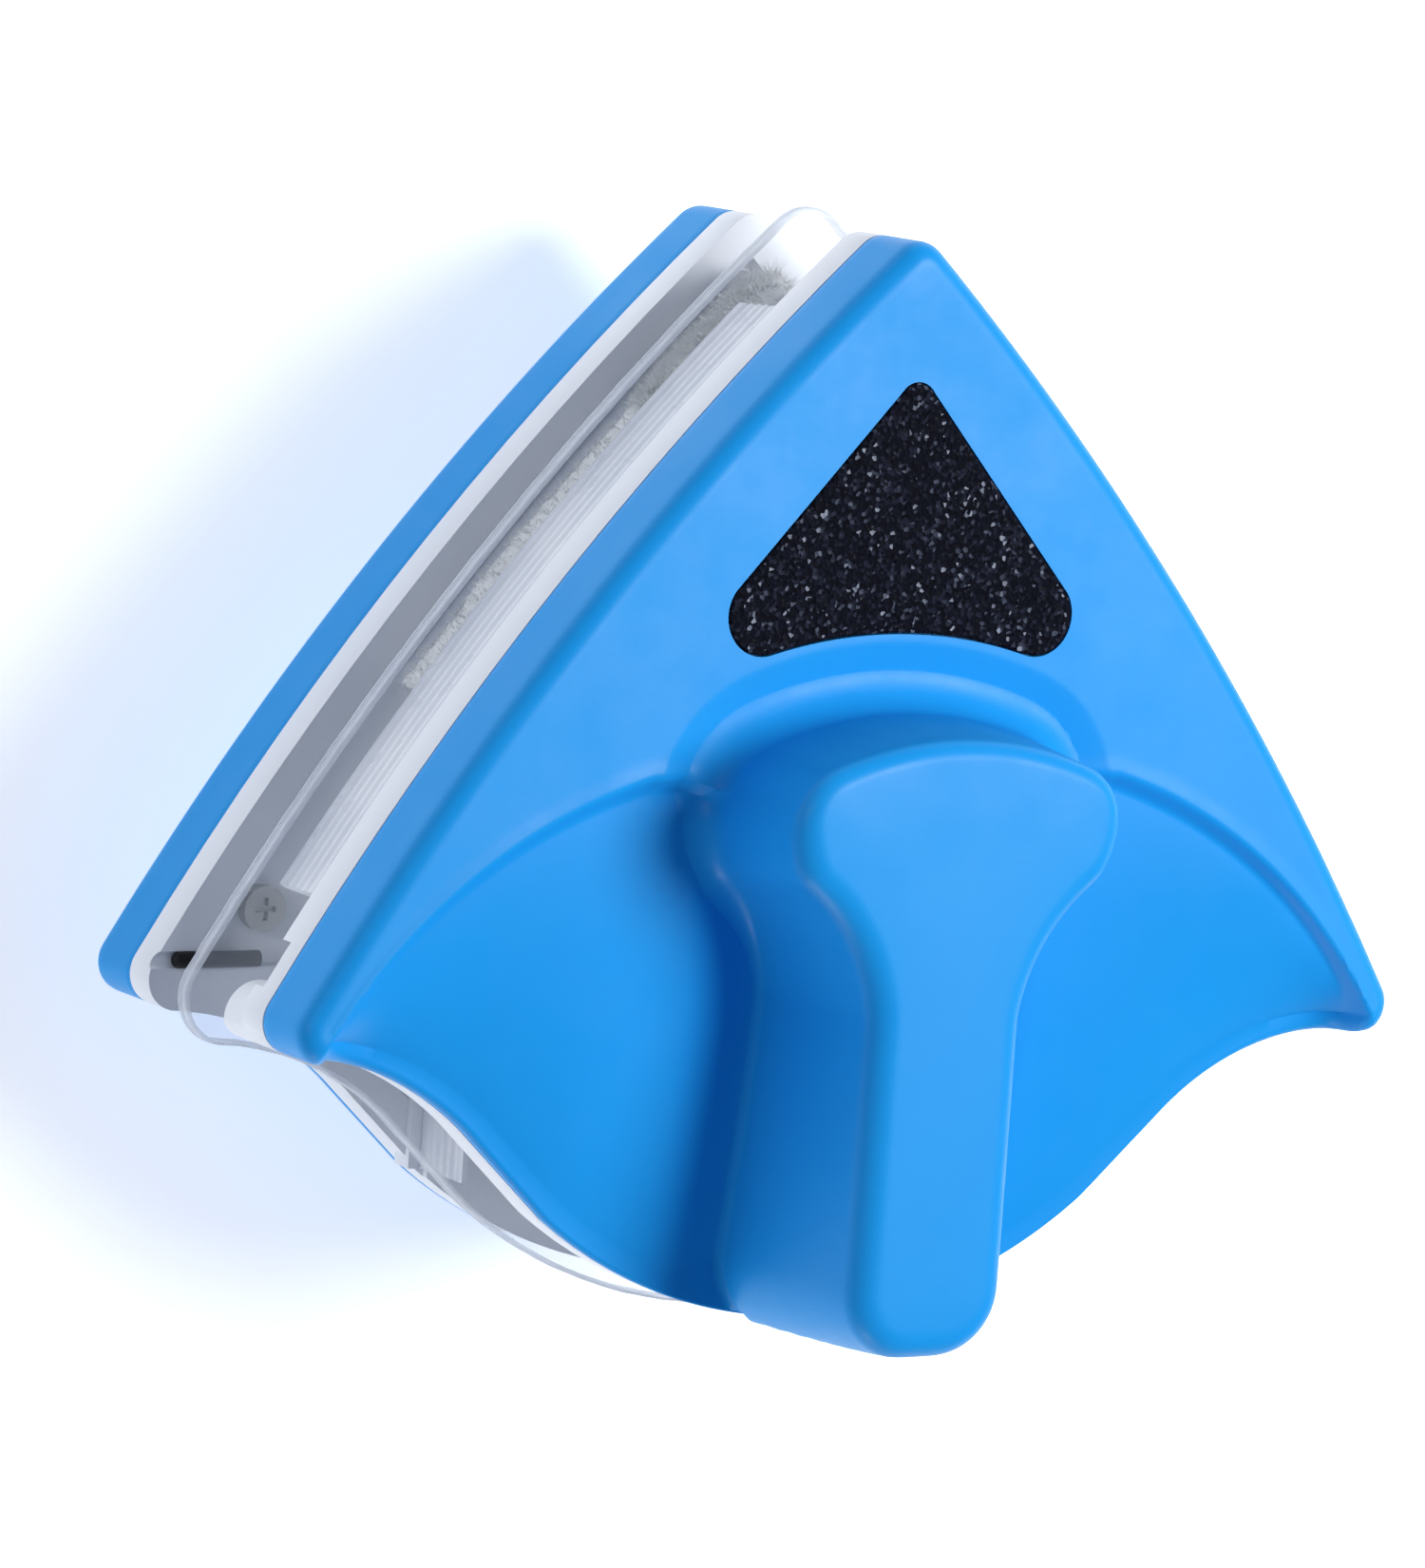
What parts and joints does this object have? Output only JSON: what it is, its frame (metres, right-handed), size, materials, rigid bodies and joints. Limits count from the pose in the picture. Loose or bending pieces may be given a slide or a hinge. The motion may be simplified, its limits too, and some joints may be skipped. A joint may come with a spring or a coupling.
{
  "type": "magnetic glass cleaner",
  "caption": "Double-sided magnetic glass cleaner: two triangular halves with mushroom grips, blades, pads and magnets, stored face to face on a clear separator.",
  "frame": {"origin": "on the surface that the rear grip lies on, under the middle of the object's box", "axes": "+X along the width, +Y towards the apex of the triangle, +Z through the glass from the rear half to the front half"},
  "size_m": [0.159, 0.136, 0.09],
  "materials": {
    "shell_blue": "smooth glossy moulding",
    "glitter_foam": "black foam with grey sparkle",
    "base_white": "satin moulding",
    "blade_clear": "translucent soft blade with fine lengthwise lines",
    "hook_white": "hook tape",
    "pad_white": "short white pile",
    "steel": "zinc plated",
    "screw_steel": "zinc plated",
    "magnet_nickel": "nickel plated",
    "peg_black": "matte",
    "plate_clear": "clear polished plastic"
  },
  "bodies": {
    "rear_half": {"rear_shell": "shell_blue", "rear_scrub_inset": "glitter_foam", "rear_base": "base_white", "rear_side_blade": "blade_clear", "rear_inner_blade": "blade_clear", "rear_hook_patch": "hook_white", "rear_cleaning_pad": "pad_white", "rear_yoke_plate": "steel", "rear_base_screws": "screw_steel", "rear_magnet_apex": "magnet_nickel", "rear_magnet_centre": "magnet_nickel", "rear_magnet_left": "magnet_nickel", "rear_magnet_right": "magnet_nickel", "rear_cord_peg": "peg_black"},
    "front_half": {"front_shell": "shell_blue", "front_scrub_inset": "glitter_foam", "front_base": "base_white", "front_side_blade": "blade_clear", "front_inner_blade": "blade_clear", "front_hook_patch": "hook_white", "front_cleaning_pad": "pad_white", "front_yoke_plate": "steel", "front_base_screws": "screw_steel", "front_magnet_apex": "magnet_nickel", "front_magnet_centre": "magnet_nickel", "front_magnet_left": "magnet_nickel", "front_magnet_right": "magnet_nickel"},
    "separator": {"separator_plate": "plate_clear"}
  },
  "joints": [
    {"name": "halves_part", "type": "slide", "parent": "rear_half", "child": "front_half", "axis": [0, 0, 1], "range_m": [0, 0.06]},
    {"name": "separator_lift", "type": "slide", "parent": "rear_half", "child": "separator", "axis": [0, 0, 1], "range_m": [0, 0.03]}
  ],
  "couplings": [
    {"joint": "separator_lift", "follows": "halves_part", "ratio": 0.5}
  ]
}
